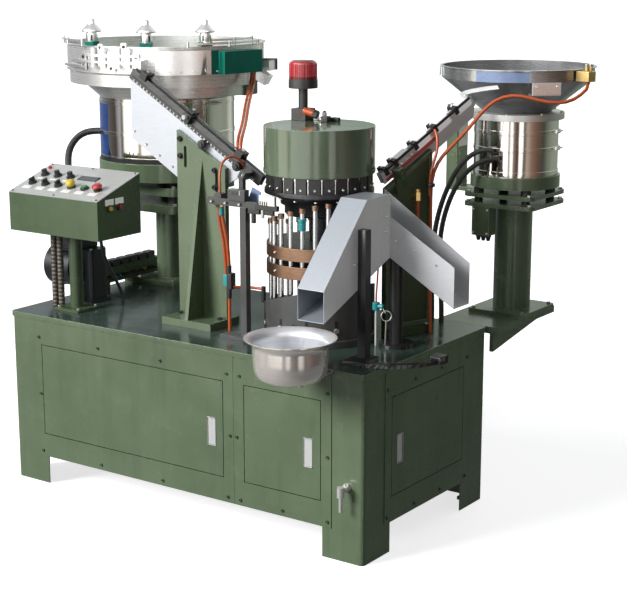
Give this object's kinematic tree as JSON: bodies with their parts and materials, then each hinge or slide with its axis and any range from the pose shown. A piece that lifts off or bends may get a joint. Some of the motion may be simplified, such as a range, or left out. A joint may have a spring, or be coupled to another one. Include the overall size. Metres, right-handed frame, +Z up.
{
  "type": "screw and washer assembly machine",
  "caption": "Green floor-standing machine with a cam-lifted turret, two vibratory bowl feeders on stands, sloped feed tracks, discharge chutes and a tilted control console.",
  "frame": {"origin": "on the floor, midway between the four floor anchor holes", "axes": "+X right along the cabinet's width, +Y to the rear, +Z up"},
  "size_m": [2.0657, 1.651, 1.6873],
  "materials": {
    "green_paint": "satin sage green enamel",
    "dark_green_paint": "satin dark green enamel",
    "table_paint": "satin grey green enamel",
    "latch_steel": "brushed",
    "gear_grey": "matte",
    "motor_navy": "semi-gloss navy enamel",
    "machined_steel": "turned",
    "belt_rubber": "matte",
    "face_aluminium": "fine brushed",
    "black_plastic": "satin black",
    "yellow_plastic": "gloss yellow",
    "green_plastic": "gloss green",
    "red_plastic": "gloss red",
    "drum_chrome": "mirror",
    "bowl_aluminium": "satin spun",
    "track_steel": "ground, dark",
    "plate_aluminium": "milled",
    "post_grey": "satin grey",
    "gate_steel": "ground",
    "cast_grey": "machined casting",
    "block_black": "black oxide",
    "rod_steel": "ground bright",
    "band_bronze": "dull bronze",
    "beacon_red": "clear red lens on black base",
    "chute_aluminium": "brushed sheet",
    "black_paint": "satin black",
    "catch_steel": "polished",
    "hose_orange": "smooth",
    "conduit_black": "ribbed",
    "inlet_alloy": "satin"
  },
  "bodies": {
    "base": {"cabinet_frame": "green_paint", "front_panels": "green_paint", "side_panels": "green_paint", "console_box": "green_paint", "left_stand": "green_paint", "right_stand": "green_paint", "left_tower": "green_paint", "drum_cover": "green_paint", "feeder_controller": "green_paint", "right_tower": "dark_green_paint", "catch_bracket": "dark_green_paint", "table_top": "table_paint", "control_gear": "gear_grey", "drive_motor": "motor_navy", "drive_belt": "belt_rubber", "console_face": "face_aluminium", "valve_manifold": "black_plastic", "left_drum": "drum_chrome", "right_drum": "drum_chrome", "left_track": "track_steel", "left_track_plate": "plate_aluminium", "right_track": "plate_aluminium", "gate_post": "post_grey", "turret_pedestal": "cast_grey", "lift_cam": "cast_grey", "beacon": "beacon_red", "front_chute": "chute_aluminium", "side_chute": "chute_aluminium", "chute_post": "black_paint", "air_hoses": "hose_orange", "cable_conduits": "conduit_black", "air_inlet": "inlet_alloy"},
    "large_door": {"large_door": "green_paint"},
    "small_door": {"small_door": "green_paint"},
    "side_door": {"side_door": "green_paint"},
    "large_door_latch": {"large_door_latch": "latch_steel"},
    "small_door_latch": {"small_door_latch": "latch_steel"},
    "side_door_latch": {"side_door_latch": "latch_steel"},
    "turret": {"turret_spindle": "machined_steel", "station_blocks": "block_black", "lift_rods": "rod_steel", "rod_bands": "band_bronze"},
    "drive_pulley": {"drive_pulley": "machined_steel"},
    "left_bowl": {"left_bowl": "bowl_aluminium", "left_tooling": "bowl_aluminium"},
    "right_bowl": {"right_bowl": "bowl_aluminium"},
    "left_gate": {"left_gate": "gate_steel"},
    "right_gate": {"right_gate": "gate_steel"},
    "catch_bowl": {"catch_bowl": "catch_steel"},
    "selector_left": {"selector_left": "black_plastic"},
    "selector_middle": {"selector_middle": "black_plastic"},
    "selector_right": {"selector_right": "black_plastic"},
    "knob_left": {"knob_left": "black_plastic"},
    "knob_middle": {"knob_middle": "black_plastic"},
    "knob_right": {"knob_right": "black_plastic"},
    "yellow_button": {"yellow_button": "yellow_plastic"},
    "green_button": {"green_button": "green_plastic"},
    "stop_button": {"stop_button": "red_plastic"},
    "side_button_yellow": {"side_button_yellow": "yellow_plastic"},
    "side_button_red": {"side_button_red": "red_plastic"}
  },
  "joints": [
    {"name": "large_door_hinge", "type": "hinge", "parent": "base", "child": "large_door", "pos_m": [-0.617, -0.388, 0.36], "axis": [0, 0, -1], "range_deg": [0, 110]},
    {"name": "small_door_hinge", "type": "hinge", "parent": "base", "child": "small_door", "pos_m": [0.313, -0.388, 0.36], "axis": [0, 0, -1], "range_deg": [0, 110]},
    {"name": "side_door_hinge", "type": "hinge", "parent": "base", "child": "side_door", "pos_m": [0.773, 0.222, 0.36], "axis": [0, 0, 1], "range_deg": [0, 110]},
    {"name": "large_latch_pivot", "type": "hinge", "parent": "large_door", "child": "large_door_latch", "pos_m": [0.163, -0.3885, 0.3845], "axis": [-1, 0, 0], "range_deg": [0, 40], "stiffness_Nm_per_rad": 0.2},
    {"name": "small_latch_pivot", "type": "hinge", "parent": "small_door", "child": "small_door_latch", "pos_m": [0.563, -0.3885, 0.3845], "axis": [-1, 0, 0], "range_deg": [0, 40], "stiffness_Nm_per_rad": 0.2},
    {"name": "side_latch_pivot", "type": "hinge", "parent": "side_door", "child": "side_door_latch", "pos_m": [0.7735, -0.18, 0.3845], "axis": [0, -1, 0], "range_deg": [0, 40], "stiffness_Nm_per_rad": 0.2},
    {"name": "turret_turn", "type": "hinge", "parent": "base", "child": "turret", "pos_m": [0.367, -0.05, 0.9], "axis": [0, 0, 1], "continuous": true},
    {"name": "drive_turn", "type": "hinge", "parent": "base", "child": "drive_pulley", "pos_m": [-0.655, -0.095, 0.6], "axis": [0, 0, 1], "continuous": true},
    {"name": "selector_left_turn", "type": "hinge", "parent": "base", "child": "selector_left", "pos_m": [-0.771, -0.2642, 1.09565], "axis": [0, -0.3206, 0.9472], "range_deg": [-45, 45]},
    {"name": "knob_left_turn", "type": "hinge", "parent": "base", "child": "knob_left", "pos_m": [-0.771, -0.1979, 1.1181], "axis": [0, -0.3206, 0.9472], "range_deg": [-135, 135]},
    {"name": "selector_middle_turn", "type": "hinge", "parent": "base", "child": "selector_middle", "pos_m": [-0.706, -0.2642, 1.09565], "axis": [0, -0.3206, 0.9472], "range_deg": [-45, 45]},
    {"name": "knob_middle_turn", "type": "hinge", "parent": "base", "child": "knob_middle", "pos_m": [-0.706, -0.1979, 1.1181], "axis": [0, -0.3206, 0.9472], "range_deg": [-135, 135]},
    {"name": "selector_right_turn", "type": "hinge", "parent": "base", "child": "selector_right", "pos_m": [-0.641, -0.2642, 1.09565], "axis": [0, -0.3206, 0.9472], "range_deg": [-45, 45]},
    {"name": "knob_right_turn", "type": "hinge", "parent": "base", "child": "knob_right", "pos_m": [-0.641, -0.1979, 1.1181], "axis": [0, -0.3206, 0.9472], "range_deg": [-135, 135]},
    {"name": "yellow_button_press", "type": "slide", "parent": "base", "child": "yellow_button", "axis": [0, 0.3206, -0.9472], "range_m": [0, 0.004], "stiffness_N_per_m": 800},
    {"name": "green_button_press", "type": "slide", "parent": "base", "child": "green_button", "axis": [0, 0.3206, -0.9472], "range_m": [0, 0.004], "stiffness_N_per_m": 800},
    {"name": "stop_button_press", "type": "slide", "parent": "base", "child": "stop_button", "axis": [0, 0.3206, -0.9472], "range_m": [0, 0.004], "stiffness_N_per_m": 800},
    {"name": "side_button_yellow_press", "type": "slide", "parent": "base", "child": "side_button_yellow", "axis": [-1, 0, 0], "range_m": [0, 0.004], "stiffness_N_per_m": 800},
    {"name": "side_button_red_press", "type": "slide", "parent": "base", "child": "side_button_red", "axis": [-1, 0, 0], "range_m": [0, 0.004], "stiffness_N_per_m": 800},
    {"name": "left_bowl_shake", "type": "hinge", "parent": "base", "child": "left_bowl", "pos_m": [-0.64, 0.35, 1.45], "axis": [0, 0, 1], "range_deg": [-0.4, 0.4], "stiffness_Nm_per_rad": 2000},
    {"name": "right_bowl_shake", "type": "hinge", "parent": "base", "child": "right_bowl", "pos_m": [0.722, 0.682, 1.45], "axis": [0, 0, 1], "range_deg": [-0.4, 0.4], "stiffness_Nm_per_rad": 800},
    {"name": "left_gate_stroke", "type": "slide", "parent": "base", "child": "left_gate", "axis": [0, 1, 0], "range_m": [0, 0.007]},
    {"name": "right_gate_stroke", "type": "slide", "parent": "base", "child": "right_gate", "axis": [-0.9532, 0.3024, 0], "range_m": [0, 0.007]},
    {"name": "catch_bowl_pull", "type": "slide", "parent": "base", "child": "catch_bowl", "axis": [0, -1, 0], "range_m": [0, 0.2]}
  ],
  "couplings": [
    {"joint": "drive_turn", "follows": "turret_turn", "ratio": 3}
  ]
}
